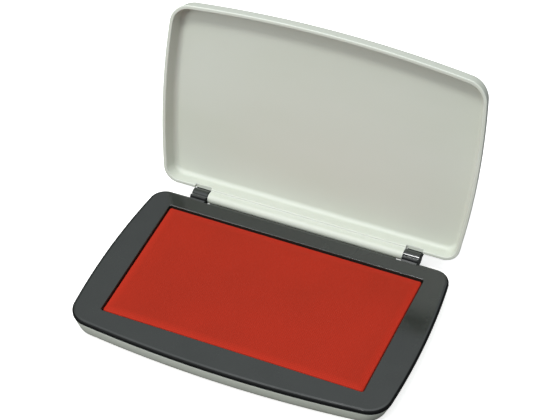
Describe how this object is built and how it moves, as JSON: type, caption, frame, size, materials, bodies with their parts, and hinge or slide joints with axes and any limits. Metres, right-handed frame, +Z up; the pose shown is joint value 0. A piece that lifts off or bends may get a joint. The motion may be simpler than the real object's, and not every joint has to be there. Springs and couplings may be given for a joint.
{
  "type": "ink pad",
  "caption": "Flat plastic ink pad case with a hinged tray lid that folds back and an inked cloth pad in a dark frame.",
  "frame": {"origin": "centre of the pad window, on the flat underside of the case", "axes": "+X to the right along the hinge, +Y from the pad towards the hinge, +Z up out of the pad"},
  "size_m": [0.111, 0.0961, 0.0718],
  "materials": {
    "putty_shell": "fine satin moulded ABS, light greenish grey",
    "charcoal_frame": "semi-gloss moulded ABS, charcoal",
    "ink_cloth": "fine cotton cloth wet with red ink",
    "ink_felt": "dense wool felt soaked with red ink",
    "tray_plastic": "natural white moulded polypropylene",
    "backing_board": "dense grey-brown board",
    "pin_steel": "drawn steel wire"
  },
  "bodies": {
    "base": {"lower_case": "putty_shell", "top_frame": "charcoal_frame", "ink_tray": "tray_plastic", "backing_board": "backing_board", "ink_felt": "ink_felt", "ink_cloth": "ink_cloth", "hinge_pin_left": "pin_steel", "hinge_pin_right": "pin_steel"},
    "lid": {"lid": "putty_shell"}
  },
  "joints": [
    {"name": "lid_hinge", "type": "hinge", "parent": "base", "child": "lid", "pos_m": [0, 0.034, 0.0065], "axis": [1, 0, 0], "range_deg": [0, 107.7]}
  ]
}
